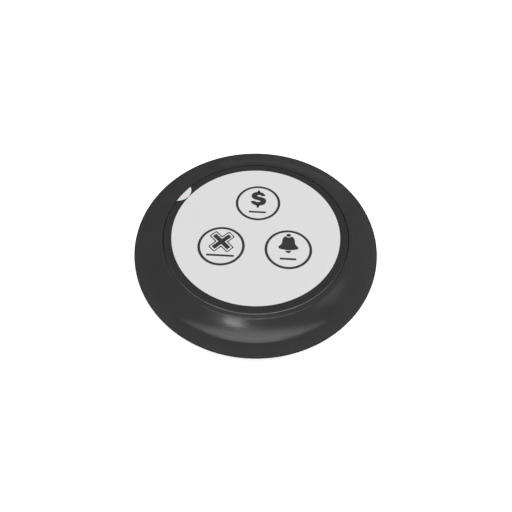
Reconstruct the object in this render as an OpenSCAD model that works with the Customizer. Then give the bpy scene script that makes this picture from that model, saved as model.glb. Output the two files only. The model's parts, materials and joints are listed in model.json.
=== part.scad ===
// Wireless table call button (service pager): a round puck with three touch keys,
// a crescent indicator window, a radio transmitter board and a coin cell behind a bayonet door.
// Z is up, the origin is at the centre of the foot, and the bill key lies towards +Y.

/* [Body] */
// Diameter over the widest part of the rounded wall
body_d = 60; // [58:0.5:62]
// Height of the flat face's plane above the table
face_z = 12.95; // [12.8:0.05:13]
// Radius of the rounded wall's section
wall_round_r = 4.65; // [4.4:0.05:4.8]
// Depth of the widest point below the face
equator_drop = 5.13; // [5:0.01:5.2]
// Height of the line where the upper and lower housings part
part_z = 3.9; // [3.6:0.1:4]
// Thickness of the housing's rounded wall
wall_t = 1.8; // [1.4:0.1:2]

/* [Face] */
// Radius of the whole face film, out to the seam
film_r = 22.36; // [22.2:0.02:22.4]
// Width of the open seam between the film and the bezel's lip
seam_gap = 0.06; // [0.04:0.02:0.2]
// Thickness of the face film
film_t = 0.3; // [0.2:0.05:0.4]
// Radius of the circle that the key centres lie on
key_pitch_r = 9.2; // [9:0.1:9.6]
// Radius of a key's own disc of film
key_r = 5.56; // [5.3:0.01:5.6]
// Radial gap round a key's disc of film
key_gap = 0.06; // [0.04:0.01:0.1]
// How far a key goes down
key_travel = 0.3; // [0.2:0.05:0.3]
// Thickness of the deck under the film
deck_t = 1.15; // [1:0.05:1.3]

/* [Indicator] */
// Direction of the indicator window, anticlockwise from +X
window_az = 150; // [145:1:155]
// Radius of the window's inner edge
window_edge_r = 3.3; // [3:0.02:3.6]
// Distance of that edge's centre from the middle of the face
window_centre_r = 23.77; // [23.5:0.01:24]
// How far the window's outer edge stays inside the film's own edge
window_inset = 0.1; // [0:0.02:0.2]

/* [Electronics] */
// Radius of the circuit board
board_r = 22.5; // [22.3:0.1:23]
// Height of the board's underside
board_z = 6.2; // [6.1:0.1:6.4]
// Thickness of the board
board_t = 1; // [0.8:0.1:1.2]
// Side of a tactile switch's square body
switch_side = 6; // [5:0.5:6.5]
// Height of a tactile switch's body
switch_h = 3.5; // [3:0.1:3.6]

/* [Battery] */
// Diameter of the coin cell
cell_d = 20; // [19.9:0.1:20.1]
// Height of the coin cell
cell_h = 3.2; // [3:0.1:3.25]
// How far the battery door turns between locked and free
door_turn = 40; // [36:1:42]

/* [Base] */
// Thickness of the lower housing's floor
floor_t = 1.8; // [1.6:0.1:1.9]
// How far the foot ring stands below the floor
foot_stand = 0.6; // [0.5:0.1:0.8]
// Radius of the circle that the case screws lie on
screw_pitch_r = 20; // [19.8:0.1:20.2]
// Radius of the circle that the board screws lie on
board_screw_pitch_r = 16; // [15.9:0.1:16.2]

/* [Hidden] */

$fn = 96;
eps = 0.01;
slack = 0.02;

// Directions of the three keys, and of the two sets of screws
bill_az = 90;
cancel_az = 210;
call_az = 330;
case_screw_az = [90, 210, 330];
board_screw_az = [30, 150, 270];

// Rounded wall: centre of its section
wall_c_r = body_d / 2 - wall_round_r;
wall_c_z = face_z - equator_drop;
crease_angle = 50.6;
wall_end_angle = -asin((wall_c_z - part_z) / wall_round_r);

// Bezel: a narrow lip with a rounded shoulder, a small step down, then a slope out to the crease
lip_z = face_z + 0.05;
lip_in_r = film_r + seam_gap;
lip_in_round = 0.05;
shoulder_start = [23.02, lip_z - 0.02];
shoulder_r = 1.2;
shoulder_tilt = [2.2, 27];
shoulder_c = shoulder_start - shoulder_r * [sin(shoulder_tilt[0]), cos(shoulder_tilt[0])];
slope_start = [23.54, lip_z - 0.18];
slope_start_handle = [1.68, -0.39];
slope_end_handle = [-1.3, 0.6];
slope_steps = 20;
crease = [wall_c_r + wall_round_r * cos(crease_angle), wall_c_z + wall_round_r * sin(crease_angle)];
cavity_r = wall_round_r - wall_t;

// Deck, film and keys
film_z = face_z - film_t;
moat_in_r = film_r - 0.1;
moat_z = film_z - 0.4;
deck_z = film_z - deck_t;
key_hole_r = key_r + key_gap;
deck_hole_r = key_hole_r + 0.12;
actuator_r = deck_hole_r - 0.4;
actuator_t = film_z - deck_z - 0.1;
stem_r = 1.6;
board_top = board_z + board_t;
switch_top = board_top + switch_h;
plunger_top = switch_top + 0.6;
plunger_r = 1.7;
plunger_gap = 0.06;

// Parts on the board
led_r = 21.1;
pipe_r = 1.1;
chip_size = [5, 3.9, 1.5];
lead_pitch = 1.27;
antenna_r = 20.6;
antenna_wire_r = 0.4;
antenna_post_r = 0.5;
antenna_z = board_top + 1.6;
antenna_ends = [226, 314];

// Base
floor_z = foot_stand;
floor_top = floor_z + floor_t;
base_rim_r = body_d / 2 - 2.5;
base_round_r = 2.6;
base_round_c = base_rim_r - base_round_r;
tongue_out_r = 25.2;
tongue_in_r = 24;
tongue_top = part_z + 1.3;
rim_in_r = 26;
foot_in_r = 22.7;
foot_out_r = 25.1;
foot_sink = 0.4;

// Battery door
flange_r = 12.9;
flange_t = 1;
neck_r = 11.8;
ledge_r = neck_r + 0.1;
pocket_r = flange_r + 0.1;
flange_top = floor_z + flange_t;
ledge_z = flange_top + 0.05;
lug_r = 12.8;
lug_z = floor_top + 0.05;
lug_t = 0.6;
lug_arc = 28;
lug_play = 0.5;
notch_arc = lug_arc + 2 * lug_play;
stop_arc = 8;
stop_reach = (lug_arc + stop_arc) / 2 + lug_play;
lug_az = [30, 150, 270];
well_in_r = 13.3;
well_out_r = 14.3;
cup_in_r = cell_d / 2 + 0.15;
cup_out_r = cup_in_r + 0.75;
cup_top = floor_top + 1.6;
coin_slot = [14, 1.9, 0.9];
cell_z = floor_top + 0.05;
cell_top = cell_z + cell_h;
cell_skin = 0.25;
cell_cap_r = 8.7;

// Screws
post_r = 2.5;
post_end_z = 5;
thread_r = 1;
screw_head_r = 1.9;
screw_head_t = 1.1;
board_post_r = 2;
board_thread_r = 0.8;
board_head_r = 1.5;
board_head_t = 1;

// Points along an arc, from angle a0 to a1
function arc_points(cx, cy, r, a0, a1, n) =
  [for (i = [0:n]) let (a = a0 + (a1 - a0) * i / n) [cx + r * cos(a), cy + r * sin(a)]];

// Points along a cubic curve that leaves p0 towards p1 and comes into p3 from p2
function curve_points(p0, p1, p2, p3, n) =
  [for (i = [1:n]) let (t = i / n, s = 1 - t)
    s * s * s * p0 + 3 * s * s * t * p1 + 3 * s * t * t * p2 + t * t * t * p3];

module at_polar(az, r) {
  rotate([0, 0, az]) translate([r, 0, 0]) children();
}

module tube(r_out, r_in, z0, z1) {
  translate([0, 0, z0]) difference() {
    cylinder(r = r_out, h = z1 - z0);
    translate([0, 0, -eps]) cylinder(r = r_in, h = z1 - z0 + 2 * eps);
  }
}

// Part of a tube, centred on direction az
module tube_sector(r_out, r_in, z0, z1, az, sweep) {
  rotate([0, 0, az - sweep / 2]) rotate_extrude(angle = sweep)
    translate([r_in, z0]) square([r_out - r_in, z1 - z0]);
}

module rod(r, z0, z1) {
  translate([0, 0, z0]) cylinder(r = r, h = z1 - z0);
}

module block(size, z0) {
  translate([-size[0] / 2, -size[1] / 2, z0]) cube(size);
}

// ---- housings ----

module top_shell_profile() {
  outer = concat(
    [[0, film_z], [moat_in_r, film_z], [moat_in_r, moat_z], [lip_in_r, moat_z]],
    arc_points(lip_in_r + lip_in_round, lip_z - lip_in_round, lip_in_round, 180, 90, 4),
    arc_points(shoulder_c[0], shoulder_c[1], shoulder_r, 90 - shoulder_tilt[0], 90 - shoulder_tilt[1], 6),
    [slope_start],
    curve_points(slope_start, slope_start + slope_start_handle, crease + slope_end_handle, crease,
      slope_steps),
    arc_points(wall_c_r, wall_c_z, wall_round_r, crease_angle, wall_end_angle, 24));
  inner = concat(
    [[rim_in_r, part_z], [rim_in_r, part_z + 1]],
    arc_points(wall_c_r, wall_c_z, cavity_r, -58, 90, 16),
    [[film_r, deck_z], [0, deck_z]]);
  polygon(concat(outer, inner));
}

// Window outline, grown by a margin
module crescent(margin) {
  intersection() {
    rotate(window_az) translate([window_centre_r, 0]) circle(r = window_edge_r + margin);
    circle(r = film_r - window_inset + margin);
  }
}

module top_housing() {
  color("#3a3a3b") difference() {
    union() {
      rotate_extrude($fn = 192) top_shell_profile();
      for (az = case_screw_az)
        at_polar(az, screw_pitch_r) rod(post_r, post_end_z, deck_z + eps);
      for (az = board_screw_az)
        at_polar(az, board_screw_pitch_r) rod(board_post_r, board_top, deck_z + eps);
    }
    for (az = [bill_az, cancel_az, call_az])
      at_polar(az, key_pitch_r) rod(deck_hole_r, deck_z - eps, film_z + eps);
    for (az = case_screw_az)
      at_polar(az, screw_pitch_r) rod(thread_r + slack, post_end_z - eps, deck_z - 1);
    for (az = board_screw_az)
      at_polar(az, board_screw_pitch_r) rod(board_thread_r + slack, board_top - eps, deck_z - 0.5);
    translate([0, 0, deck_z - eps]) linear_extrude(film_z - deck_z + 2 * eps) crescent(0.04);
  }
}

module bottom_shell_profile() {
  polygon(concat(
    [[0, floor_z]],
    [[base_round_c + base_round_r * cos(-60) - 0.5, floor_z]],
    arc_points(base_round_c, part_z, base_round_r, -60, 0, 12),
    [[tongue_out_r, part_z], [tongue_out_r, tongue_top], [tongue_in_r, tongue_top],
      [tongue_in_r, floor_top], [0, floor_top]]));
}

module bottom_housing() {
  color("#353536") difference() {
    union() {
      rotate_extrude($fn = 192) bottom_shell_profile();
      tube(well_out_r, well_in_r, floor_top - eps, tongue_top);
      for (az = lug_az, stop_az = [stop_reach, -door_turn - stop_reach])
        tube_sector(well_in_r + eps, ledge_r + 0.2, floor_top - eps, lug_z + lug_t, az + stop_az, stop_arc);
      for (az = case_screw_az)
        at_polar(az, screw_pitch_r) rod(post_r + 0.4, floor_top - eps, post_end_z);
    }
    tube(foot_out_r, foot_in_r, floor_z - eps, floor_z + foot_sink);
    rod(pocket_r, floor_z - eps, ledge_z);
    rod(ledge_r, floor_z, floor_top + eps);
    for (az = lug_az)
      tube_sector(lug_r + 0.15, ledge_r - 1, ledge_z - eps, floor_top + eps, az - door_turn, notch_arc);
    for (az = case_screw_az)
      at_polar(az, screw_pitch_r) {
        rod(thread_r + 0.2, floor_z, post_end_z + eps);
        rod(screw_head_r + 0.3, floor_z - eps, floor_z + 0.2 + screw_head_t);
      }
  }
}

module case_seal() {
  color("#1d1d1d") rotate_extrude() translate([(tongue_out_r + rim_in_r) / 2, part_z + 0.4])
    circle(r = 0.39, $fn = 24);
}

module foot_ring() {
  color("#202020") tube(foot_out_r - slack, foot_in_r + slack, 0, floor_z + foot_sink);
}

// ---- face and keys ----

module face_film() {
  color("#dedede") difference() {
    rod(film_r, film_z, face_z);
    for (az = [bill_az, cancel_az, call_az])
      at_polar(az, key_pitch_r) rod(key_hole_r, film_z - eps, face_z + eps);
    translate([0, 0, film_z - eps]) linear_extrude(film_t + 2 * eps) crescent(0.02);
  }
}

module key_film(az) {
  color("#dedede") at_polar(az, key_pitch_r) rod(key_r, film_z, face_z);
}

module bill_key_film() { key_film(bill_az); }
module cancel_key_film() { key_film(cancel_az); }
module call_key_film() { key_film(call_az); }

// Silicone pad that fills the deck's hole under a key, with a stem down to the switch
module actuator(az) {
  color("#6f7275") at_polar(az, key_pitch_r) {
    rod(actuator_r, film_z - actuator_t, film_z);
    rod(stem_r, plunger_top, film_z - actuator_t + eps);
  }
}

module bill_actuator() { actuator(bill_az); }
module cancel_actuator() { actuator(cancel_az); }
module call_actuator() { actuator(call_az); }

module switch_plunger(az) {
  color("#1a1a1a") at_polar(az, key_pitch_r) {
    rod(plunger_r, switch_top - 1.4, plunger_top);
  }
}

module bill_switch_plunger() { switch_plunger(bill_az); }
module cancel_switch_plunger() { switch_plunger(cancel_az); }
module call_switch_plunger() { switch_plunger(call_az); }

module tact_switch(az) {
  color("#c9ccd0") at_polar(az, key_pitch_r) difference() {
    union() {
      block([switch_side, switch_side, switch_h - 0.3], board_top);
      for (x = [-1, 1], y = [-1, 1])
        translate([x * 2.3, y * 2.3, 0]) rod(0.35, board_top + switch_h - 0.4, switch_top);
    }
    rod(plunger_r + plunger_gap, switch_top - 1.4 - key_travel - 0.2, switch_top + eps);
  }
}

module bill_switch() { tact_switch(bill_az); }
module cancel_switch() { tact_switch(cancel_az); }
module call_switch() { tact_switch(call_az); }

module switch_terminals() {
  color("#d8d8d2") for (az = [bill_az, cancel_az, call_az], x = [-1, 1], y = [-1, 1])
    at_polar(az, key_pitch_r) translate([x * 2.25, y * (switch_side / 2 + 0.6), 0])
      block([0.7, 1.2 - 2 * eps, 0.25], board_top);
}

// ---- indicator ----

module indicator_lens() {
  color("#e8e8e4") {
    translate([0, 0, deck_z - 0.4]) linear_extrude(face_z - deck_z + 0.4) crescent(0);
    at_polar(window_az, led_r) rod(pipe_r, board_top + 1.3, deck_z);
  }
}

module indicator_led() {
  color("#f2efe2") at_polar(window_az, led_r) {
    block([2, 1.25, 0.6], board_top);
    rod(0.55, board_top + 0.6 - eps, board_top + 1.1);
  }
}

// ---- circuit board ----

module circuit_board() {
  color("#1f5b3a") difference() {
    rod(board_r, board_z, board_top);
    for (az = case_screw_az)
      at_polar(az, screw_pitch_r) rod(post_r + 0.25, board_z - eps, board_top + eps);
    for (az = board_screw_az)
      at_polar(az, board_screw_pitch_r) rod(board_thread_r + 0.15, board_z - eps, board_top + eps);
  }
}

module encoder_chip() {
  color("#202224") difference() {
    block(chip_size, board_top + 0.1);
    translate([-chip_size[0] / 2 + 0.7, 0, 0])
      rod(0.3, board_top + chip_size[2], board_top + chip_size[2] + 0.2);
  }
}

module encoder_chip_leads() {
  color("#cfcfcf") for (i = [0:3], side = [-1, 1])
    translate([(i - 1.5) * lead_pitch, side * chip_size[1] / 2, 0])
      rotate([0, 0, side > 0 ? 0 : 180]) rotate([90, 0, 90]) linear_extrude(0.4, center = true)
        polygon([[0, board_top + 0.75], [0.35, board_top + 0.75], [0.5, board_top + 0.2],
          [1, board_top + 0.2], [1, board_top], [0.35, board_top], [0.2, board_top + 0.55],
          [0, board_top + 0.55]]);
}

module rf_resonator() {
  color("#c4c6c8") at_polar(0, 15.6) {
    rod(2.6, board_top, board_top + 0.4);
    rod(2.25, board_top + 0.4 - eps, board_top + 2.4);
  }
}

module rf_transistor() {
  color("#242424") at_polar(20, 18.6) {
    block([1.3, 2.9, 0.9], board_top + 0.1);
    for (y = [-0.95, 0.95])
      translate([0.9, y, 0]) block([0.7, 0.4, 0.3], board_top);
    translate([-0.9, 0, 0]) block([0.7, 0.4, 0.3], board_top);
  }
}

module bulk_capacitor() {
  color("#b9bcc0") at_polar(180, 16.5) {
    block([4.2, 4.2, 0.6], board_top);
    rod(2, board_top + 0.6 - eps, board_top + 3.4);
  }
}

module ceramic_capacitors() {
  color("#b39b74") for (i = [0:2], r = [14.5, 17, 19.5])
    at_polar(52 + 9 * i, r) block([1.6, 0.8, 0.8], board_top);
}

module resistors() {
  color("#2b2b2e") for (i = [0:2], r = [14.5, 17, 19.5])
    at_polar(110 + 9 * i, r) block([1.6, 0.8, 0.45], board_top);
}

module loop_antenna() {
  color("#c98a4b") {
    rotate([0, 0, antenna_ends[0]]) rotate_extrude(angle = antenna_ends[1] - antenna_ends[0])
      translate([antenna_r, antenna_z]) circle(r = antenna_wire_r, $fn = 24);
    for (az = antenna_ends)
      at_polar(az, antenna_r) rod(antenna_post_r, board_top, antenna_z + antenna_post_r);
  }
}

// ---- battery contacts and cell ----

module positive_contact() {
  color("#d2d2cc") {
    tube_sector(cell_d / 2 + 0.35, cell_d / 2 + 0.05, cup_top + 0.25, board_z, 180, 120);
    for (az = [130, 180, 230])
      tube_sector(cell_d / 2 + 2.4, cell_d / 2 + 0.3, board_z - 0.3, board_z, az, 14);
  }
}

module negative_contact() {
  color("#d2d2cc") {
    tube(5.2, 3.6, board_z - 0.2, board_z);
    for (az = [0, 120, 240])
      rotate([0, 0, az]) rotate([90, 0, 0]) linear_extrude(1.4, center = true)
        polygon([[4.4, board_z - 0.2], [4.4, board_z - 0.05], [1.2, cell_top + 0.2],
          [0.5, cell_top + 0.3], [0.5, cell_top + 0.14], [1.2, cell_top + 0.04]]);
  }
}

module cell_can() {
  color("#d9dadb") rotate_extrude() polygon([
    [0, cell_z], [cell_d / 2 - 0.4, cell_z], [cell_d / 2, cell_z + 0.4],
    [cell_d / 2, cell_top - 0.9], [cell_d / 2 - 0.5, cell_top - 0.35], [9.15, cell_top - 0.35],
    [9.15, cell_top - 0.6], [cell_d / 2 - cell_skin, cell_top - 1],
    [cell_d / 2 - cell_skin, cell_z + cell_skin], [0, cell_z + cell_skin]]);
}

module cell_gasket() {
  color("#2e3a4a") rotate_extrude() polygon([
    [cell_cap_r + slack, cell_z + cell_skin + slack], [9.6, cell_z + cell_skin + slack],
    [9.6, cell_top - 1], [9.1, cell_top - 0.6], [9.1, cell_top - 0.3],
    [cell_cap_r + slack, cell_top - 0.3]]);
}

module cell_cap() {
  color("#cfd0d1") rotate_extrude() polygon([
    [0, cell_z + cell_skin + slack], [cell_cap_r, cell_z + cell_skin + slack], [cell_cap_r, cell_top - 0.5],
    [8.1, cell_top - 0.1], [7.9, cell_top], [0, cell_top]]);
}

module battery_door() {
  color("#353536") difference() {
    union() {
      rod(flange_r, floor_z, flange_top);
      rod(neck_r, flange_top - eps, floor_top);
      tube(cup_out_r, cup_in_r, floor_top - eps, cup_top);
      tube(neck_r, cup_in_r, floor_top - eps, lug_z + lug_t);
      for (az = lug_az)
        tube_sector(lug_r, neck_r - 0.3, lug_z, lug_z + lug_t, az, lug_arc);
    }
    tube(flange_r - 0.15, neck_r + 0.3, flange_top - 0.45, flange_top + eps);
    block(coin_slot, floor_z - eps);
  }
}

module door_seal() {
  color("#9a4b3a") tube(flange_r - 0.17, neck_r + 0.32, flange_top - 0.43, ledge_z - eps);
}

// ---- screws ----

module case_screws() {
  color("#8e9094") for (az = case_screw_az)
    at_polar(az, screw_pitch_r) difference() {
      union() {
        rod(screw_head_r, floor_z + 0.2, floor_z + 0.2 + screw_head_t);
        rod(thread_r, floor_z + screw_head_t, deck_z - 1.5);
      }
      for (turn = [0, 90])
        rotate([0, 0, turn]) block([2, 0.5, 0.6], floor_z + 0.2 - eps);
    }
}

module board_screws() {
  color("#8e9094") for (az = board_screw_az)
    at_polar(az, board_screw_pitch_r) difference() {
      union() {
        rod(board_head_r, board_z - board_head_t, board_z);
        rod(board_thread_r, board_z - eps, deck_z - 1);
      }
      for (turn = [0, 90])
        rotate([0, 0, turn]) block([1.7, 0.45, 0.5], board_z - board_head_t - eps);
    }
}

top_housing();
bottom_housing();
case_seal();
foot_ring();
face_film();
bill_key_film();
cancel_key_film();
call_key_film();
bill_actuator();
cancel_actuator();
call_actuator();
bill_switch_plunger();
cancel_switch_plunger();
call_switch_plunger();
bill_switch();
cancel_switch();
call_switch();
switch_terminals();
indicator_lens();
indicator_led();
circuit_board();
encoder_chip();
encoder_chip_leads();
rf_resonator();
rf_transistor();
bulk_capacitor();
ceramic_capacitors();
resistors();
loop_antenna();
positive_contact();
negative_contact();
cell_can();
cell_gasket();
cell_cap();
battery_door();
door_seal();
case_screws();
board_screws();
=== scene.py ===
"""Looks of a wireless table call button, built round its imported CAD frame.

Metres, +Z up, +Y towards the bill key, origin at the centre of the foot.
"""

import json
import math

import bmesh
import bpy
from mathutils import Matrix, Vector
from mathutils.geometry import tessellate_polygon


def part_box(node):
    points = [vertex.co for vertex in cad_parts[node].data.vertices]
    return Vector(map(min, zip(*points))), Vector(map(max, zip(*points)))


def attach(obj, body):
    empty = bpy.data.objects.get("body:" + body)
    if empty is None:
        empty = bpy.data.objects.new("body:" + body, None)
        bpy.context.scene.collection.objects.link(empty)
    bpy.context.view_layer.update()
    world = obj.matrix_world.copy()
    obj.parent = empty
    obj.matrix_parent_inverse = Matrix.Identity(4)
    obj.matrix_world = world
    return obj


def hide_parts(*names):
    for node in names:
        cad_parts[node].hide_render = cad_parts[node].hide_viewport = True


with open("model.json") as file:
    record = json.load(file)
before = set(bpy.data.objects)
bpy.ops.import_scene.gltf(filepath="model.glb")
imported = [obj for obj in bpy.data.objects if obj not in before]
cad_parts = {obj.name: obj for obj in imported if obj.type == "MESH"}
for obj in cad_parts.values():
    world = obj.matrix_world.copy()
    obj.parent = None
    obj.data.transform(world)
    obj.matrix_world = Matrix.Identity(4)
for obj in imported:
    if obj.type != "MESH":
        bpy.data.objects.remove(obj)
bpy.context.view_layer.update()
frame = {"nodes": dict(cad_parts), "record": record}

MM = 0.001

# ---- places, from the frame ----

FACE_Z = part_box("face_film")[1].z
FILM_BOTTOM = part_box("face_film")[0].z
FILM_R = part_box("face_film")[1].x
SEAM_GAP = 0.06 * MM
LIP_IN_R = FILM_R + SEAM_GAP
BODY_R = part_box("top_housing")[1].x
LIP_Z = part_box("top_housing")[1].z
PART_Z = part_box("top_housing")[0].z
BASE_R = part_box("bottom_housing")[1].x
FLOOR_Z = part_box("bottom_housing")[0].z
FOOT_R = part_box("foot_ring")[1].x
FOOT_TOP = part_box("foot_ring")[1].z
DOOR_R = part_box("battery_door")[1].x
DOOR_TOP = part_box("battery_door")[1].z

LABEL_R = 20.4 * MM
LABEL_EDGE_R = 20.32 * MM
PRINT_T = 0.01 * MM
LABEL_Z = FACE_Z - PRINT_T
WINDOW_AZ = math.radians(150)
WINDOW_EDGE_R = 3.3 * MM
WINDOW_CENTRE_R = 23.77 * MM
WINDOW_RIM_R = FILM_R - 0.1 * MM
DECK_T = 1.15 * MM
DECK_Z = FILM_BOTTOM - DECK_T

KEY_R = (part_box("bill_key_film")[1].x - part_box("bill_key_film")[0].x) / 2
KEY_GAP = 0.06 * MM

# The wall is round from the crease down to the parting line.
WALL_R = 4.65 * MM
WALL_T = 1.8 * MM
WALL_CENTRE_R = BODY_R - WALL_R
WALL_CENTRE_Z = FACE_Z - 5.13 * MM
CREASE_ANGLE = 50.6

KEYS = ("bill", "cancel", "call")


def centre_of(node):
    """Middle of a node's box."""
    low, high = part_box(node)
    return (low + high) / 2


def polar(azimuth, radius, z=0.0):
    """A point at an azimuth in radians and a distance from the axis."""
    return Vector((radius * math.cos(azimuth), radius * math.sin(azimuth), z))


def steps(count):
    """count + 1 even fractions from 0 to 1."""
    return [i / count for i in range(count + 1)]


def arc(cx, cy, r, a0, a1, count, ry=None):
    """Points along an arc between two angles in degrees. ry makes it an ellipse's."""
    ry = r if ry is None else ry
    angles = [math.radians(a0 + (a1 - a0) * t) for t in steps(count)]
    return [(cx + r * math.cos(a), cy + ry * math.sin(a)) for a in angles]


def cubic(p0, p1, p2, p3, count):
    """Points along a cubic curve after p0, with p1 and p2 as its handles."""
    points = []
    for t in steps(count)[1:]:
        s = 1 - t
        weights = (s**3, 3 * s * s * t, 3 * s * t * t, t**3)
        points.append(tuple(sum(w * p[i] for w, p in zip(weights, (p0, p1, p2, p3))) for i in (0, 1)))
    return points


def shifted(point, dx, dy):
    """A point moved by millimetres."""
    return (point[0] + dx * MM, point[1] + dy * MM)


# ---- places inside, as in the CAD ----

SCREW_SPOTS = [polar(math.radians(a), 20 * MM) for a in (90, 210, 330)]
BOARD_SCREW_SPOTS = [polar(math.radians(a), 16 * MM) for a in (30, 150, 270)]
BOARD_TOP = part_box("circuit_board")[1].z
POST_END_Z = 5 * MM
FLOOR_TOP = FLOOR_Z + 1.8 * MM
DOOR_LEDGE_Z = FLOOR_Z + 1 * MM
DOOR_TURN = 40
LUG_AZIMUTHS = (30, 150, 270)
LUG_SWEEP = 28
STOP_SWEEP = 8
LUG_STOP = (LUG_SWEEP + STOP_SWEEP) / 2 + 0.5
LUG_TOP = FLOOR_TOP + 0.65 * MM
MARK_AZIMUTH = math.radians(60)

# Pieces that are joined or cut reach this far into or past each other.
OVERLAP = 0.01 * MM
CUT_PAST = 1 * MM
# Edges sharper than this stay sharp. The bezel's crease is the softest of them.
SHARP = 17
CREASE_SHARP = 13


# ---- meshes ----

def finish_mesh(name, bm, body, material, sharp=SHARP):
    """Makes an object of a bmesh, smooth except at edges sharper than the angle, and has it ride."""
    bmesh.ops.remove_doubles(bm, verts=bm.verts, dist=1e-7)
    bmesh.ops.recalc_face_normals(bm, faces=bm.faces)
    mesh = bpy.data.meshes.new(name)
    bm.to_mesh(mesh)
    bm.free()
    mesh.shade_smooth()
    mesh.set_sharp_from_angle(angle=math.radians(sharp))
    mesh.materials.append(material)
    piece = bpy.data.objects.new(name, mesh)
    bpy.context.scene.collection.objects.link(piece)
    if body:
        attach(piece, body)
    return piece


def add_lathe(bm, outline, segments=256, centre=(0.0, 0.0)):
    """Turns a closed outline of (radius, height) points about an upright axis."""
    on_axis = 1e-9
    rings = []
    for r, z in outline:
        count = 1 if r < on_axis else segments
        turn = [2 * math.pi * k / count for k in range(count)]
        rings.append([
            bm.verts.new((centre[0] + r * math.cos(a), centre[1] + r * math.sin(a), z)) for a in turn
        ])
    for a, b in zip(rings, rings[1:] + rings[:1]):
        for k in range(segments):
            j = (k + 1) % segments
            corners = [a[k % len(a)], a[j % len(a)], b[j % len(b)], b[k % len(b)]]
            corners = list(dict.fromkeys(corners))  # a ring on the axis is one point, given once
            if len(corners) > 2:
                bm.faces.new(corners)


def lathe(name, outline, body, material, sharp=SHARP):
    """One piece turned about the button's own axis."""
    bm = bmesh.new()
    add_lathe(bm, outline)
    return finish_mesh(name, bm, body, material, sharp)


def add_plate(bm, loops, z0, z1):
    """A flat plate between two heights. loops holds its outline, then the outlines of its holes."""
    flat = [[Vector((x, y, 0)) for x, y in loop] for loop in loops]
    triangles = tessellate_polygon(flat)
    points = [p for loop in flat for p in loop]
    low = [bm.verts.new((p.x, p.y, z0)) for p in points]
    high = [bm.verts.new((p.x, p.y, z1)) for p in points]
    for tri in triangles:
        bm.faces.new([high[i] for i in tri])
        bm.faces.new([low[i] for i in reversed(tri)])
    start = 0
    for loop in flat:
        n = len(loop)
        for i in range(n):
            j = (i + 1) % n
            bm.faces.new([low[start + i], low[start + j], high[start + j], high[start + i]])
        start += n


def plate(name, shapes, z0, z1, body, material):
    """One piece of flat plates, each a list of loops."""
    bm = bmesh.new()
    for loops in shapes:
        add_plate(bm, loops, z0, z1)
    return finish_mesh(name, bm, body, material)


def carve(piece, cutters, operation="DIFFERENCE", sharp=SHARP):
    """Cuts the cutter objects out of a piece, or joins them to it, for good."""
    for cutter in cutters:
        step = piece.modifiers.new("carve", "BOOLEAN")
        step.solver = "EXACT"
        step.operation = operation
        step.object = cutter
    bpy.context.view_layer.update()
    graph = bpy.context.evaluated_depsgraph_get()
    mesh = bpy.data.meshes.new_from_object(piece.evaluated_get(graph))
    piece.modifiers.clear()
    piece.data = mesh
    mesh.shade_smooth()
    mesh.set_sharp_from_angle(angle=math.radians(sharp))
    for cutter in cutters:
        bpy.data.objects.remove(cutter)
    return piece


def rod(centre, r, z0, z1):
    """A plain round cutter or post, not yet riding on anything."""
    bm = bmesh.new()
    add_lathe(bm, [(0, z0), (r, z0), (r, z1), (0, z1)], 64, centre)
    return finish_mesh("cutter", bm, None, None)


def prism(loop, z0, z1):
    """A plain upright cutter or block with this outline, not yet riding on anything."""
    bm = bmesh.new()
    add_plate(bm, [loop], z0, z1)
    return finish_mesh("cutter", bm, None, None)


def circle(centre, r, count=128):
    """Outline of a circle round a point."""
    return arc(centre[0], centre[1], r, 0, 360, count)[:-1]


def sector(r_in, r_out, azimuth, sweep):
    """Outline of a piece of a ring, centred on an azimuth in degrees."""
    start, end = azimuth - sweep / 2, azimuth + sweep / 2
    return arc(0, 0, r_out, start, end, 16) + arc(0, 0, r_in, end, start, 16)


# ---- materials ----

# A noise keeps mostly between these two values.
PATTERN_LOW, PATTERN_HIGH = 0.3, 0.7


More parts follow.
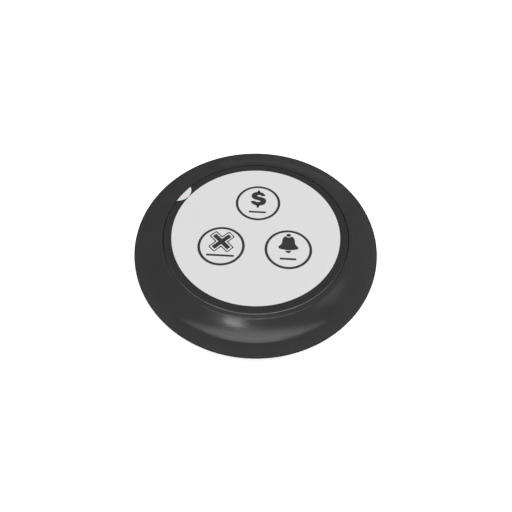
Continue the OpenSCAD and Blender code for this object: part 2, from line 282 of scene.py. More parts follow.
class Paint:
    """A Principled material with procedural detail. Its patterns lie in the piece's own space."""

    def __init__(self, name, **sockets):
        self.material = bpy.data.materials.new(name)
        self.material.use_nodes = True
        self.nodes = self.material.node_tree.nodes
        self.links = self.material.node_tree.links
        self.shader = self.nodes["Principled BSDF"]
        self.coords = self.nodes.new("ShaderNodeTexCoord").outputs["Object"]
        for socket, value in sockets.items():
            self.shader.inputs[socket.replace("_", " ")].default_value = value

    def noise(self, size, detail=3.0, roughness=0.55, stretch=None):
        """A noise whose blobs are about size metres across."""
        node = self.nodes.new("ShaderNodeTexNoise")
        node.inputs["Scale"].default_value = 1 / size
        node.inputs["Detail"].default_value = detail
        node.inputs["Roughness"].default_value = roughness
        coords = self.coords
        if stretch:
            mapping = self.nodes.new("ShaderNodeMapping")
            mapping.inputs["Scale"].default_value = stretch
            self.links.new(coords, mapping.inputs["Vector"])
            coords = mapping.outputs["Vector"]
        self.links.new(coords, node.inputs["Vector"])
        return node.outputs["Fac"]

    def spread(self, value, low, high):
        """Maps a pattern's middle range to the range from low to high."""
        node = self.nodes.new("ShaderNodeMapRange")
        numbers = {"From Min": PATTERN_LOW, "From Max": PATTERN_HIGH, "To Min": low, "To Max": high}
        for socket, number in numbers.items():
            node.inputs[socket].default_value = number
        self.links.new(value, node.inputs["Value"])
        return node.outputs["Result"]

    def colours(self, value, dark, light):
        """Paints the base colour between two colours by a pattern."""
        ramp = self.nodes.new("ShaderNodeValToRGB")
        ends = ramp.color_ramp.elements
        for end, position, colour in ((ends[0], PATTERN_LOW, dark), (ends[1], PATTERN_HIGH, light)):
            end.position = position
            end.color = (*colour, 1)
        self.links.new(value, ramp.inputs["Fac"])
        self.links.new(ramp.outputs["Color"], self.shader.inputs["Base Color"])

    def roughness(self, value, low, high):
        """Varies the roughness between two values by a pattern."""
        self.links.new(self.spread(value, low, high), self.shader.inputs["Roughness"])

    def bump(self, value, depth):
        """Raises the surface by a pattern, depth metres at most."""
        node = self.nodes.new("ShaderNodeBump")
        node.inputs["Strength"].default_value = 1
        node.inputs["Distance"].default_value = depth
        self.links.new(value, node.inputs["Height"])
        self.links.new(node.outputs["Normal"], self.shader.inputs["Normal"])


def grey(value, tint=0.0):
    """A grey, with its blue raised by the tint."""
    return (value, value, value * (1 + tint))


def moulded_plastic(name, shade, gloss, grain_size, grain_depth):
    """Satin black moulding: fine spark-eroded grain, faint flow mottling, uneven gloss."""
    paint = Paint(name, IOR=1.46)
    grain = paint.noise(grain_size, 2.0)
    mottle = paint.noise(6 * MM, 4.0)
    paint.colours(mottle, grey(shade * 0.95), grey(shade * 1.05, 0.01))
    paint.roughness(mottle, gloss - 0.01, gloss + 0.01)
    paint.bump(grain, grain_depth)
    return paint.material


def printed_film(name, shade, gloss):
    """Screen-printed overlay film: very slight pigment mottling under a fine matt coat."""
    paint = Paint(name, IOR=1.45)
    pigment = paint.noise(0.25 * MM, 3.0)
    paint.colours(pigment, grey(shade * 0.99), grey(shade * 1.01))
    paint.roughness(paint.noise(2 * MM), gloss - 0.02, gloss + 0.02)
    paint.bump(paint.noise(0.09 * MM, 1.0), 0.0008 * MM)
    return paint.material


def rubber(name, shade):
    """Matt rubber or foam with closed pores."""
    paint = Paint(name, IOR=1.5)
    pores = paint.noise(0.12 * MM, 3.0)
    paint.colours(pores, grey(shade * 0.75), grey(shade * 1.25))
    paint.roughness(paint.noise(1.5 * MM), 0.72, 0.88)
    paint.bump(pores, 0.012 * MM)
    return paint.material


def coloured(name, colour, gloss, size=0.6 * MM, vary=0.15):
    """A plain moulded or coated part with a little variation in colour, gloss and height."""
    paint = Paint(name)
    pattern = paint.noise(size, 4.0)
    dark = tuple(c * (1 - vary) for c in colour)
    light = tuple(min(1, c * (1 + vary)) for c in colour)
    paint.colours(pattern, dark, light)
    paint.roughness(pattern, gloss - 0.04, gloss + 0.04)
    paint.bump(paint.noise(size / 4, 2.0), 0.001 * MM)
    return paint.material


def metal(name, colour, gloss, stretch=(1, 1, 12)):
    """Plated or rolled metal, brushed along one direction."""
    paint = Paint(name, Metallic=1.0)
    brush = paint.noise(0.4 * MM, 4.0, 0.6, stretch)
    paint.colours(brush, tuple(c * 0.88 for c in colour), colour)
    paint.roughness(brush, gloss - 0.07, gloss + 0.07)
    paint.bump(brush, 0.002 * MM)
    return paint.material


def circuit_green():
    """Solder mask over copper: tracks show as paler, slightly raised lanes."""
    paint = Paint("board", IOR=1.5)
    brick = paint.nodes.new("ShaderNodeTexBrick")
    brick.inputs["Scale"].default_value = 1 / (3.5 * MM)
    brick.inputs["Mortar Size"].default_value = 0.06
    brick.inputs["Color1"].default_value = (0, 0, 0, 1)
    brick.inputs["Color2"].default_value = (0.1, 0.1, 0.1, 1)
    brick.inputs["Mortar"].default_value = (1, 1, 1, 1)
    paint.links.new(paint.coords, brick.inputs["Vector"])
    lanes = brick.outputs["Color"]
    paint.colours(lanes, (0.01, 0.085, 0.035), (0.03, 0.17, 0.075))
    paint.roughness(paint.noise(1 * MM), 0.28, 0.36)
    paint.bump(lanes, 0.02 * MM)
    return paint.material


def milky_lens():
    """Diffusing light-pipe plastic."""
    paint = Paint("lens_plastic", IOR=1.49, Subsurface_Weight=0.25, Subsurface_Scale=0.6 * MM)
    cloud = paint.noise(0.8 * MM, 3.0)
    paint.colours(cloud, grey(LABEL_SHADE * 0.98), grey(LABEL_SHADE * 1.02))
    paint.roughness(cloud, 0.3, 0.36)
    paint.bump(paint.noise(0.15 * MM), 0.0008 * MM)
    return paint.material


LABEL_SHADE = 0.72
BLACK_SHADE = 0.038

HOUSING = moulded_plastic("housing_plastic", BLACK_SHADE, 0.15, 0.16 * MM, 0.0002 * MM)
BASE_PLASTIC = moulded_plastic("base_plastic", BLACK_SHADE, 0.42, 0.2 * MM, 0.006 * MM)
LABEL = printed_film("label_print", LABEL_SHADE, 0.42)
BORDER = printed_film("border_print", BLACK_SHADE * 0.87, 0.19)
# The film's bevelled edge is painted darker than the border: painted shade for the dark seam between the
# film and the lip.
FILM_EDGE_SHADE = printed_film("film_edge_painted_shade", BLACK_SHADE * 0.65, 0.19)
INK = printed_film("ink", BLACK_SHADE, 0.42)
LENS = milky_lens()
FOAM = rubber("foot_rubber", 0.022)
SCREW_STEEL = metal("screw_steel", grey(0.42), 0.36, (1, 1, 1))

NODE_MATERIALS = {
    "silicone": rubber("silicone", 0.17),
    "seal_rubber": rubber("seal_rubber", 0.02),
    "door_seal_rubber": coloured("door_seal_rubber", (0.32, 0.08, 0.05), 0.6),
    "led_resin": coloured("led_resin", (0.85, 0.83, 0.72), 0.25, vary=0.05),
    "board": circuit_green(),
    "dark_component": coloured("dark_component", grey(0.016), 0.5),
    "tinned_metal": metal("tinned_metal", grey(0.62), 0.32),
    "ceramic": coloured("ceramic", (0.45, 0.33, 0.17), 0.45, size=0.3 * MM),
    "copper_wire": metal("copper_wire", (0.75, 0.36, 0.17), 0.3),
    "cell_steel": metal("cell_steel", grey(0.68), 0.24, (1, 8, 1)),
    "cell_gasket_plastic": coloured("cell_gasket_plastic", (0.03, 0.05, 0.09), 0.5),
    "screw_steel": SCREW_STEEL,
}


# ---- housings ----

def bezel_outline():
    """Outside of the top housing, from the seam out over the crease and down to the parting line."""
    inner_round, shoulder_r, shoulder_start, shoulder_end = 0.05 * MM, 1.2 * MM, 2.2, 27
    angle, tilt = math.radians(CREASE_ANGLE), math.radians(shoulder_start)
    crease = (WALL_CENTRE_R + WALL_R * math.cos(angle), WALL_CENTRE_Z + WALL_R * math.sin(angle))
    lip = (LIP_IN_R, LIP_Z)
    edge = shifted(lip, 0.6, -0.02)
    middle = (edge[0] - shoulder_r * math.sin(tilt), edge[1] - shoulder_r * math.cos(tilt))
    start = shifted(lip, 1.12, -0.18)
    end = -math.degrees(math.asin((WALL_CENTRE_Z - PART_Z) / WALL_R))
    return (
        arc(LIP_IN_R + inner_round, LIP_Z - inner_round, inner_round, 180, 90, 8)
        + [shifted(lip, 0.12, -0.002)]
        + arc(*middle, shoulder_r, 90 - shoulder_start, 90 - shoulder_end, 10)
        + [start]
        + cubic(start, shifted(start, 1.68, -0.39), shifted(crease, -1.3, 0.60), crease, 40)
        + arc(WALL_CENTRE_R, WALL_CENTRE_Z, WALL_R, CREASE_ANGLE, end, 48)[1:]
    )


def crescent_outline(margin):
    """The window's outline: an arc along the seam outside, the window's own arc inside."""
    count = 48
    outer = WINDOW_RIM_R + margin
    edge = WINDOW_EDGE_R + margin
    half = math.acos((outer**2 + WINDOW_CENTRE_R**2 - edge**2) / (2 * outer * WINDOW_CENTRE_R))
    centre = polar(WINDOW_AZ, WINDOW_CENTRE_R)
    corner = polar(WINDOW_AZ + half, outer) - centre
    inward = polar(WINDOW_AZ + math.pi, 1)
    sweep = corner.angle(inward)
    facing = WINDOW_AZ + math.pi
    points = [polar(WINDOW_AZ - half + 2 * half * t, outer) for t in steps(count)]
    points += [centre + polar(facing - sweep + 2 * sweep * t, edge) for t in steps(count)[1:-1]]
    return [(p.x, p.y) for p in points]


def make_top_housing():
    """Bezel and deck in one shell, with its screw posts and the holes for the keys and the window."""
    rim_r = 26 * MM
    groove_r, groove_z = FILM_R - 0.1 * MM, FILM_BOTTOM - 0.4 * MM
    post_r, pilot_r = 2.5 * MM, 1.02 * MM
    board_post_r, board_pilot_r = 2 * MM, 0.82 * MM
    key_clearance, window_clearance = 0.18 * MM, 0.04 * MM
    seat = [(0, FILM_BOTTOM), (groove_r, FILM_BOTTOM), (groove_r, groove_z), (LIP_IN_R, groove_z)]
    inside = (
        [(rim_r, PART_Z), (rim_r, PART_Z + 1 * MM)]
        + arc(WALL_CENTRE_R, WALL_CENTRE_Z, WALL_R - WALL_T, -58, 90, 24)
        + [(FILM_R, DECK_Z), (0, DECK_Z)]
    )
    outline = seat + bezel_outline() + inside
    shell = lathe("top_housing_shell", outline, "case", HOUSING, CREASE_SHARP)
    posts = [rod(spot, post_r, POST_END_Z, DECK_Z + OVERLAP) for spot in SCREW_SPOTS]
    posts += [rod(spot, board_post_r, BOARD_TOP, DECK_Z + OVERLAP) for spot in BOARD_SCREW_SPOTS]
    carve(shell, posts, "UNION", CREASE_SHARP)
    below = DECK_Z - CUT_PAST
    cutters = [rod(spot, pilot_r, POST_END_Z - CUT_PAST, DECK_Z - 1 * MM) for spot in SCREW_SPOTS]
    for spot in BOARD_SCREW_SPOTS:
        cutters.append(rod(spot, board_pilot_r, BOARD_TOP - CUT_PAST, DECK_Z - 0.5 * MM))
    for key in KEYS:
        cutters.append(rod(centre_of(key + "_key_film"), KEY_R + key_clearance, below, LIP_Z))
    cutters.append(prism(crescent_outline(window_clearance), below, LIP_Z))
    carve(shell, cutters, sharp=CREASE_SHARP)
    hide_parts("top_housing")


def make_bottom_housing():
    """Base shell with the foot's groove, the screw bosses, and the door's opening and stops."""
    round_r, edge_r = 2.6 * MM, 0.3 * MM
    round_centre = BASE_R - round_r
    groove_in, groove_out = 22.7 * MM, FOOT_R + 0.02 * MM
    collar_r, wall_in_r, collar_top = 25.2 * MM, 24 * MM, PART_Z + 1.3 * MM
    fence_in, fence_out, fence_top = 13.3 * MM, 14.3 * MM, 5.2 * MM
    opening_r, ledge_r = DOOR_R + 0.1 * MM, 11.9 * MM
    ledge_z = 1.65 * MM
    outline = (
        [(opening_r, FLOOR_Z)]
        + [(groove_in, FLOOR_Z), (groove_in, FOOT_TOP), (groove_out, FOOT_TOP), (groove_out, FLOOR_Z)]
        + arc(round_centre + 1.0 * MM, FLOOR_Z + edge_r, edge_r, -90, -50, 6)
        + arc(round_centre, PART_Z, round_r, -58, 0, 24)
        + [(collar_r, PART_Z), (collar_r, collar_top), (wall_in_r, collar_top), (wall_in_r, FLOOR_TOP)]
        + [(fence_out, FLOOR_TOP), (fence_out, fence_top), (fence_in, fence_top), (fence_in, FLOOR_TOP)]
        + [(ledge_r, FLOOR_TOP), (ledge_r, ledge_z), (opening_r, ledge_z)]
    )
    shell = lathe("bottom_housing_shell", outline, "case", BASE_PLASTIC)
    boss_r, head_r, hole_r, head_depth = 2.9 * MM, 2.2 * MM, 1.2 * MM, 1.3 * MM
    stop_in, entry_in, entry_out = 12.1 * MM, 11 * MM, 12.95 * MM
    added = [rod(spot, boss_r, FLOOR_TOP - OVERLAP, POST_END_Z) for spot in SCREW_SPOTS]
    for azimuth in LUG_AZIMUTHS:
        for stop in (LUG_STOP, -DOOR_TURN - LUG_STOP):
            loop = sector(stop_in, fence_in + OVERLAP, azimuth + stop, STOP_SWEEP)
            added.append(prism(loop, FLOOR_TOP - OVERLAP, LUG_TOP))
    carve(shell, added, "UNION")
    cutters = [rod(spot, head_r, FLOOR_Z - CUT_PAST, FLOOR_Z + head_depth) for spot in SCREW_SPOTS]
    cutters += [rod(spot, hole_r, FLOOR_Z, POST_END_Z + CUT_PAST) for spot in SCREW_SPOTS]
    for azimuth in LUG_AZIMUTHS:
        loop = sector(entry_in, entry_out, azimuth - DOOR_TURN, LUG_SWEEP + 1)
        cutters.append(prism(loop, DOOR_LEDGE_Z, FLOOR_TOP + 0.1 * MM))
    carve(shell, cutters)
    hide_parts("bottom_housing")


def make_foot():
    """Rubber ring that the button stands on, with rounded lower edges."""
    inner = FOOT_R - 2.36 * MM
    r = 0.18 * MM
    outline = (
        [(inner, FOOT_TOP)]
        + arc(inner + r, r, r, 180, 270, 8)
        + arc(FOOT_R - r, r, r, 270, 360, 8)
        + [(FOOT_R, FOOT_TOP)]
    )
    foot = lathe("foot_pad", outline, "case", FOAM)
    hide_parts("foot_ring")


# ---- face ----

def window_half_angle(radius, margin):
    """Half the angle that the window takes up on a circle of this radius."""
    edge = WINDOW_EDGE_R + margin
    cosine = (radius**2 + WINDOW_CENTRE_R**2 - edge**2) / (2 * radius * WINDOW_CENTRE_R)
    return math.acos(min(1.0, cosine))


def make_border():
    """Black ring of the overlay, with the window's gap in it and a bevelled edge painted darker, as
    painted shade for the seam.
    """
    bevel, bevel_drop, window_gap = 0.2 * MM, 0.13 * MM, 0.02 * MM
    across = [LABEL_EDGE_R + (FILM_R - bevel - LABEL_EDGE_R) * t for t in steps(10)]
    section = (
        [(r, FACE_Z) for r in across]
        + [(FILM_R, FACE_Z - bevel_drop), (FILM_R, FILM_BOTTOM)]
        + [(r, FILM_BOTTOM) for r in reversed(across)]
    )
    bm = bmesh.new()
    count = 256
    rows = []
    for r, z in section:
        half = window_half_angle(r, window_gap)
        sweep = 2 * (math.pi - half)
        rows.append([bm.verts.new(polar(WINDOW_AZ + half + sweep * t, r, z)) for t in steps(count)])
    for a, b in zip(rows, rows[1:] + rows[:1]):
        for k in range(count):
            bm.faces.new([a[k], a[k + 1], b[k + 1], b[k]])
    for k in (0, count):
        bm.faces.new([row[k] for row in rows])
    border = finish_mesh("face_border", bm, "case", BORDER)
    # The bevel's faces get the darker edge material: painted shade along the seam.
    border.data.materials.append(FILM_EDGE_SHADE)
    for face in border.data.polygons:
        middle = face.center
        beyond = math.hypot(middle.x, middle.y) > FILM_R - bevel
        face.material_index = int(beyond and middle.z > FILM_BOTTOM)
    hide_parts("face_film")


def make_label():
    """Silver disc of the overlay, with a hole for each key."""
    holes = []
    for key in KEYS:
        spot = centre_of(key + "_key_film")
        holes.append(circle(spot, KEY_R + KEY_GAP))
    loops = [circle((0, 0), LABEL_EDGE_R - 0.004 * MM, 256)] + holes
    label = plate("face_label", [loops], FILM_BOTTOM, LABEL_Z, "case", LABEL)
    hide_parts("face_film")


def make_window():
    """Crescent window with a fine bevel, and the light pipe that leads down from it to the LED."""
    bm = bmesh.new()
    outline = crescent_outline(0)
    chamfer = 0.04 * MM
    bottom = DECK_Z - 0.4 * MM
    middle = polar(WINDOW_AZ, FILM_R - 0.9 * MM)  # the bevel leans towards this point
    levels = [(bottom, 0.0), (FACE_Z - chamfer, 0.0), (FACE_Z, chamfer)]
    rows = []
    for z, inset in levels:
        row = []
        for x, y in outline:
            towards = (middle - Vector((x, y, 0))).normalized() * inset
            row.append(bm.verts.new((x + towards.x, y + towards.y, z)))
        rows.append(row)
    n = len(outline)
    for a, b in zip(rows, rows[1:]):
        for k in range(n):
            j = (k + 1) % n
            bm.faces.new([a[k], a[j], b[j], b[k]])
    bm.faces.new(rows[-1])
    bm.faces.new(list(reversed(rows[0])))
    pipe_r, pipe_end = 1.1 * MM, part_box("indicator_lens")[0].z
    pipe = [(0, pipe_end), (pipe_r, pipe_end), (pipe_r, bottom), (0, bottom)]
    add_lathe(bm, pipe, 48, centre_of("indicator_led"))
    window = finish_mesh("indicator_window", bm, "case", LENS)
    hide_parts("indicator_lens")


# ---- printed marks: shapes are in units of the label's radius ----

RING_OUT = 0.2724
RING_IN = 0.2444
BAR_HEIGHT = 0.026


def plain_bar(width, middle):
    """A printed bar with rounded corners, lying under a sign at the height middle."""
    r = BAR_HEIGHT * 0.35
    x, y = width / 2 - r, BAR_HEIGHT / 2 - r
    corners = ((x, -y, -90), (x, y, 0), (-x, y, 90), (-x, -y, 180))
    return [[[p for cx, cy, a in corners for p in arc(cx, middle + cy, r, a, a + 90, 4)]]]


def dollar_sign():
    """A bold S, thicker where it runs upright, with a short bar above and below."""
    curves = (
        ((0.072, 0.159), (0.040, 0.179), (0.002, 0.179)),
        ((-0.050, 0.179), (-0.087, 0.155), (-0.087, 0.111)),
        ((-0.087, 0.066), (-0.048, 0.053), (0.004, 0.041)),
        ((0.020, 0.037), (0.027, 0.032), (0.027, 0.025)),
        ((0.027, 0.017), (0.013, 0.013), (-0.003, 0.013)),
        ((-0.020, 0.013), (-0.032, 0.019), (-0.043, 0.030)),
        ((-0.058, 0.029), (-0.075, 0.027), (-0.092, 0.024)),
        ((-0.080, -0.020), (-0.044, -0.043), (0.002, -0.043)),
        ((0.058, -0.043), (0.100, -0.013), (0.100, 0.034)),
        ((0.100, 0.080), (0.058, 0.091), (0.010, 0.101)),
        ((-0.007, 0.104), (-0.016, 0.107), (-0.016, 0.115)),
        ((-0.016, 0.125), (-0.006, 0.129), (0.006, 0.129)),
        ((0.018, 0.129), (0.028, 0.124), (0.034, 0.113)),
        ((0.050, 0.113), (0.068, 0.114), (0.087, 0.117)),
    )
    outline = [curves[-1][-1]]
    for handles in curves:
        outline += cubic(outline[-1], *handles, 8)
    tip, root = 0.014, 0.017
    top = [(-root, 0.165), (root, 0.165), (tip, 0.204), (-tip, 0.204)]
    foot = [(-tip, -0.076), (tip, -0.076), (root, -0.03), (-root, -0.03)]
    return [[outline[:-1]], [top], [foot]]


def cross_outline(reach, half, middle=0.0):
    """A plus sign turned by 45 degrees, with arms this long and this wide each side."""
    quarter = [(half, half), (reach, half), (reach, -half)]
    points = []
    for k in range(4):
        turn = math.radians(45 - 90 * k)
        c, s = math.cos(turn), math.sin(turn)
        points += [(x * c - y * s, middle + x * s + y * c) for x, y in quarter]
    return points


def soften(loop, r):
    """Rounds each corner of a loop, from r before it to r after it."""
    out = []
    n = len(loop)
    for i in range(n):
        here = Vector(loop[i])
        back = (Vector(loop[i - 1]) - here).normalized() * r
        on = (Vector(loop[(i + 1) % n]) - here).normalized() * r
        start, end = here + back, here + on
        for t in steps(4):
            s = 1 - t
            out.append(tuple(start * s * s + here * 2 * s * t + end * t * t))
    return out


def crossed_mark():
    """A solid cross with a thin line round it."""
    middle, half_line = 0.061, 0.0062
    solid = [soften(cross_outline(0.129, 0.0265, middle), 0.005)]
    reach, half = 0.154, 0.047
    line = [
        soften(cross_outline(reach + half_line, half + half_line, middle), 0.016),
        soften(cross_outline(reach - half_line, half - half_line, middle), 0.010),
    ]
    return [solid, line]


def bell_mark():
    """A bell with a knob above and the tip of its clapper below."""
    right = (
        [(0.0, 0.169)]
        + arc(0, 0.202, 0.035, -80, -26, 5)
        + cubic((0.033, 0.187), (0.060, 0.173), (0.072, 0.152), (0.0735, 0.118), 10)
        + cubic((0.0735, 0.118), (0.075, 0.078), (0.085, 0.062), (0.109, 0.041), 10)
        + cubic((0.109, 0.041), (0.121, 0.030), (0.120, 0.011), (0.101, 0.002), 8)
        + cubic((0.101, 0.002), (0.06, -0.009), (0.03, -0.013), (0.0, -0.013), 8)
    )
    body = right + [(-x, y) for x, y in reversed(right[1:-1])]
    knob = arc(0, 0.2015, 0.027, 0, 360, 32, 0.0215)[:-1]
    clapper = arc(0, -0.022, 0.034, 180, 360, 20, 0.031)
    return [[body], [knob], [clapper]]


# Each key's sign, then its bar's width and height above the key's middle.
MARKS = {
    "bill": ("dollar_sign", dollar_sign, 0.21, -0.145),
    "cancel": ("crossed_mark", crossed_mark, 0.32, -0.134),
    "call": ("bell_mark", bell_mark, 0.19, -0.136),
}


def make_key(key):
    """A key's own disc of silver film, with its printed ring, sign and bar."""
    body = key + "_key"
    spot = centre_of(key + "_key_film")
    disc = plate(body + "_disc", [[circle(spot, KEY_R)]], FILM_BOTTOM, LABEL_Z, body, LABEL)
    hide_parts(body + "_film")

    def placed(shapes):
        return [[[(spot.x + x * LABEL_R, spot.y + y * LABEL_R) for x, y in loop] for loop in shape]
                for shape in shapes]

    mark_name, mark, bar_width, bar_middle = MARKS[key]
    ring = [[circle((0, 0), RING_OUT), circle((0, 0), RING_IN)]]
    bar = plain_bar(bar_width, bar_middle)
    for name, shapes in ((key + "_ring", ring), (mark_name, mark()), (key + "_bar", bar)):
        piece = plate(name, placed(shapes), LABEL_Z, FACE_Z, body, INK)


# ---- underside ----

def make_door():
    """Coin-slot battery door with a rounded rim, bayonet lugs and a cup for the cell."""
    rim_round, neck_r, cup_r, cell_r = 0.2 * MM, 11.8 * MM, 10.9 * MM, 10.15 * MM
    lug_r = 12.8 * MM
    outline = (
        [(0, FLOOR_Z)]
        + arc(DOOR_R - rim_round, FLOOR_Z + rim_round, rim_round, -90, 0, 6)
        + [(DOOR_R, DOOR_LEDGE_Z), (neck_r, DOOR_LEDGE_Z), (neck_r, LUG_TOP), (cup_r, LUG_TOP)]
        + [(cup_r, DOOR_TOP), (cell_r, DOOR_TOP), (cell_r, FLOOR_TOP), (0, FLOOR_TOP)]
    )
    door = lathe("battery_door_cover", outline, "battery_door", BASE_PLASTIC)
    lugs = []
    for azimuth in LUG_AZIMUTHS:
        loop = sector(neck_r - 0.3 * MM, lug_r, azimuth, LUG_SWEEP)
        lugs.append(prism(loop, FLOOR_TOP + 0.05 * MM, LUG_TOP))
    carve(door, lugs, "UNION")
    half_w, half_l, depth = 0.95 * MM, 7 * MM, 0.9 * MM
    end = half_l - half_w
    slot = arc(end, 0, half_w, -90, 90, 12) + arc(-end, 0, half_w, 90, 270, 12)
    carve(door, [prism(slot, FLOOR_Z - CUT_PAST, FLOOR_Z + depth)])
    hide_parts("battery_door")


def make_lock_marks():
    """Raised signs by the door's rim: a pointer on the door, a dot for locked and a ring for free."""
    raised = 0.1 * MM
    low, high = FLOOR_Z - raised, FLOOR_Z + raised
    tip, back, spread = DOOR_R - 0.5 * MM, DOOR_R - 1.9 * MM, math.radians(3.6)
    corners = (polar(MARK_AZIMUTH + turn, r) for turn, r in ((0, tip), (spread, back), (-spread, back)))
    pointer = [(p.x, p.y) for p in corners]
    piece = plate("door_pointer", [[pointer]], low, high, "battery_door", BASE_PLASTIC)
    sign_r, hole_r, place = 0.6 * MM, 0.35 * MM, DOOR_R + 1.5 * MM
    locked = polar(MARK_AZIMUTH, place)
    free = polar(MARK_AZIMUTH - math.radians(DOOR_TURN), place)
    signs = [[circle(locked, sign_r, 48)], [circle(free, sign_r, 48), circle(free, hole_r, 48)]]
    piece = plate("lock_signs", signs, low, high, "case", BASE_PLASTIC)


def make_case_screws():
    """Pan-head screws with a cross recess."""
    head_r, shank_r, head_low, head_top, tip = 1.9 * MM, 1.0 * MM, 0.8 * MM, 1.9 * MM, 10 * MM
    crown = 0.7 * MM
    cross = [(x * MM, y * MM) for x, y in cross_outline(1, 0.25)]
    bm = bmesh.new()
    for spot in SCREW_SPOTS:
        head = [(0, head_low)] + arc(0, head_low + crown, head_r, -90, -8, 10, crown)
        shank = [(head_r, head_top), (shank_r, head_top), (shank_r, tip - 0.5 * MM), (0, tip)]
        add_lathe(bm, head + shank, 48, spot)
    screws = finish_mesh("case_screw_set", bm, "case", SCREW_STEEL)
    cutters = []
    for spot in SCREW_SPOTS:
        recess = [(spot.x + x, spot.y + y) for x, y in cross]
        cutters.append(prism(recess, 0.5 * MM, 1.45 * MM))
    carve(screws, cutters)
    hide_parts("case_screws")


def paint_nodes():
    """Gives every CAD node that stays in view its own finish, by the record's slot."""
    for entry in frame["record"]["subparts"]:
        material = NODE_MATERIALS.get(entry["material_slot"])
        node = frame["nodes"][entry["node"]]
        if material is None:
            continue
        if not node.material_slots:
            node.data.materials.append(material)
        for slot in node.material_slots:
            slot.material = material


make_top_housing()
make_bottom_housing()
make_foot()
make_border()
make_label()
make_window()
for name in KEYS:
    make_key(name)
make_door()
make_lock_marks()
make_case_screws()
paint_nodes()


# ---- studio ----

CAMERA_AZIMUTH = math.radians(3.12)
CAMERA_ELEVATION = math.radians(52.95)
CAMERA_DISTANCE = 5.893 * LABEL_R
CAMERA_SLIDE = 0.09 * MM
CAMERA_TILT = math.radians(-2.768)
CAMERA_ROLL = math.radians(-0.4476)
CAMERA_LENS = 34.93

# Lights and the camera stand by the camera's heading: x to its right, y away from it, z up.
ACROSS, ACROSS_DOWN, ACROSS_UP = (1, 0, 0), (1, -0.3, 0), (1, 1, 0)
SOFTBOX_DISTANCE = 0.5
# Name, direction's x and y, width and height in metres, radiance, shape, direction of the width.
SOFTBOXES = (
    ("softbox_low", -0.01, -0.222, 0.64, 0.12, 1.12, "ELLIPSE", ACROSS),
    ("softbox_middle", -0.015, -0.305, 0.45, 0.16, 1.27, "ELLIPSE", ACROSS),
    ("softbox_front", -0.03, -0.43, 0.25, 0.13, 1.1, "RECTANGLE", ACROSS),
    ("left_spot", -0.138, -0.05, 0.068, 0.02, 15, "ELLIPSE", ACROSS_DOWN),
    ("left_spot_halo", -0.135, -0.045, 0.19, 0.045, 0.65, "ELLIPSE", ACROSS_DOWN),
    ("top_glow", -0.027, 0.279, 0.133, 0.101, 0.77, "ELLIPSE", ACROSS),
    ("right_patch", 0.455, 0.18, 0.13, 0.055, 0.8, "ELLIPSE", ACROSS_UP),
    ("back_strip", 0.15, 0.93, 0.34, 0.035, 0.25, "RECTANGLE", ACROSS),
)
# The strips that draw the thin light line along the film's edge: azimuth in degrees, radiance.
# Each is as long as the line needs for RIM_HALF_STEP degrees either way.
RIM_STRIPS = ((-150, 1.8), (-130, 3.9), (-110, 6.0), (-90, 6.5), (-70, 7.0), (-50, 5.0), (-30, 2.0))
RIM_TILT = 33
RIM_DISTANCE = 0.55
RIM_WIDTH = 0.07
RIM_HALF_STEP = 10

SKY_STRENGTH = 0.95
# What shiny surfaces mirror where no light stands.
SKY_MIRRORED = 0.04


HEADING = Matrix.Rotation(CAMERA_AZIMUTH, 3, "Z")


def camera_direction():
    """From the face towards the camera, by its own heading."""
    return Vector((0, -math.cos(CAMERA_ELEVATION), math.sin(CAMERA_ELEVATION)))


def make_camera():
    """Sees the button from a little over half way up, with the view tipped down to leave room above."""
    back = HEADING @ camera_direction()
    right = HEADING @ Vector((1, 0, 0))
    forward = Matrix.Rotation(CAMERA_TILT, 3, right) @ -back
    right = Matrix.Rotation(CAMERA_ROLL, 3, forward) @ right
    up = right.cross(forward)
    camera = bpy.data.objects.new("camera", bpy.data.cameras.new("camera"))
    camera.data.sensor_width = 36
    camera.data.lens = CAMERA_LENS
    camera.data.clip_start = 1 * MM
    turn = Matrix((right, up, -forward)).transposed()
    place = Vector((CAMERA_SLIDE, 0, FACE_Z)) + back * CAMERA_DISTANCE
    camera.matrix_world = Matrix.Translation(place) @ turn.to_4x4()
    bpy.context.scene.collection.objects.link(camera)
    bpy.context.scene.camera = camera


def make_light(name, towards, distance, size, radiance, shape="RECTANGLE", along=ACROSS, fill=False):
    """A soft light facing the object. A fill light only brightens, and the others only show as gloss."""
    back = (HEADING @ Vector(towards)).normalized()
    along = HEADING @ Vector(along)
    across = (along - back * along.dot(back)).normalized()
    area = size[0] * size[1] * (math.pi / 4 if shape == "ELLIPSE" else 1)
    light = bpy.data.lights.new(name, "AREA")
    light.shape = shape
    light.size, light.size_y = size
    light.energy = radiance * math.pi * area
    lamp = bpy.data.objects.new(name, light)
    turn = Matrix((across, back.cross(across), back)).transposed()
    lamp.matrix_world = Matrix.Translation(back * distance + Vector((0, 0, FACE_Z))) @ turn.to_4x4()
    lamp.visible_glossy = not fill
    lamp.visible_diffuse = fill
    lamp.visible_camera = False
    bpy.context.scene.collection.objects.link(lamp)


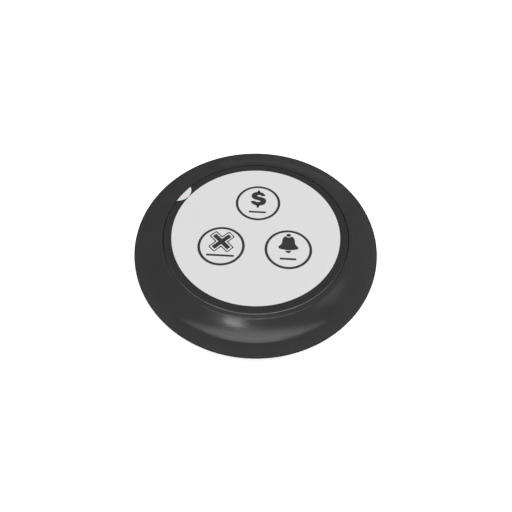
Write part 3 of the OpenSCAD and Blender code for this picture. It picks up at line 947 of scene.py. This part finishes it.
def mirrored(azimuth):
    """Place that the camera sees mirrored in the bevel of the film's edge at an azimuth in degrees."""
    lean, turn = math.radians(RIM_TILT), math.radians(azimuth)
    outward = Vector((math.cos(turn), math.sin(turn), 0))
    normal = outward * math.sin(lean) + Vector((0, 0, math.cos(lean)))
    spot = outward * FILM_R
    sight = (camera_direction() * CAMERA_DISTANCE - spot).normalized()
    return spot + (2 * sight.dot(normal) * normal - sight) * RIM_DISTANCE


def make_sky():
    """Even white light all round, nearly black where a shiny surface mirrors it."""
    scene = bpy.context.scene
    world = bpy.data.worlds.new("studio")
    world.use_nodes = True
    nodes, links = world.node_tree.nodes, world.node_tree.links
    sky = nodes["Background"]
    sky.inputs["Color"].default_value = (1, 1, 1, 1)
    ray = nodes.new("ShaderNodeLightPath")
    level = nodes.new("ShaderNodeMapRange")
    level.inputs["To Min"].default_value = SKY_STRENGTH
    level.inputs["To Max"].default_value = SKY_MIRRORED
    links.new(ray.outputs["Is Glossy Ray"], level.inputs["Value"])
    links.new(level.outputs["Result"], sky.inputs["Strength"])
    scene.world = world
    scene.view_settings.view_transform = "Standard"


def make_floor():
    """Plain pale floor, a little self-lit so that it stays white up to the horizon."""
    reach = 3.0
    bm = bmesh.new()
    corners = ((-reach, -reach), (reach, -reach), (reach, reach), (-reach, reach))
    bm.faces.new([bm.verts.new((x, y, 0)) for x, y in corners])
    paint = Paint("floor_paint", Roughness=0.9, Specular_IOR_Level=0,
                  Emission_Color=(1, 1, 1, 1), Emission_Strength=0.6)
    paint.colours(paint.noise(20 * MM), grey(0.93), grey(0.95))
    floor = finish_mesh("floor", bm, None, paint.material)
    floor.visible_glossy = False


def make_lights():
    """Softboxes for the broad highlights, strips for the film's bright edge, and one fill light."""
    for name, x, y, width, height, radiance, shape, along in SOFTBOXES:
        towards = (x, y, math.sqrt(1 - x * x - y * y))
        make_light(name, towards, SOFTBOX_DISTANCE, (width, height), radiance, shape, along)
    for i, (azimuth, radiance) in enumerate(RIM_STRIPS):
        place = mirrored(azimuth)
        along = mirrored(azimuth + RIM_HALF_STEP) - mirrored(azimuth - RIM_HALF_STEP)
        size = (along.length, RIM_WIDTH)
        make_light("rim_strip_%d" % i, place, place.length, size, radiance, along=along)
    make_light("right_fill", (0.85, 0.45, 0.38), 0.6, (0.4, 0.4), 2.1, fill=True)


make_camera()
make_sky()
make_floor()
make_lights()
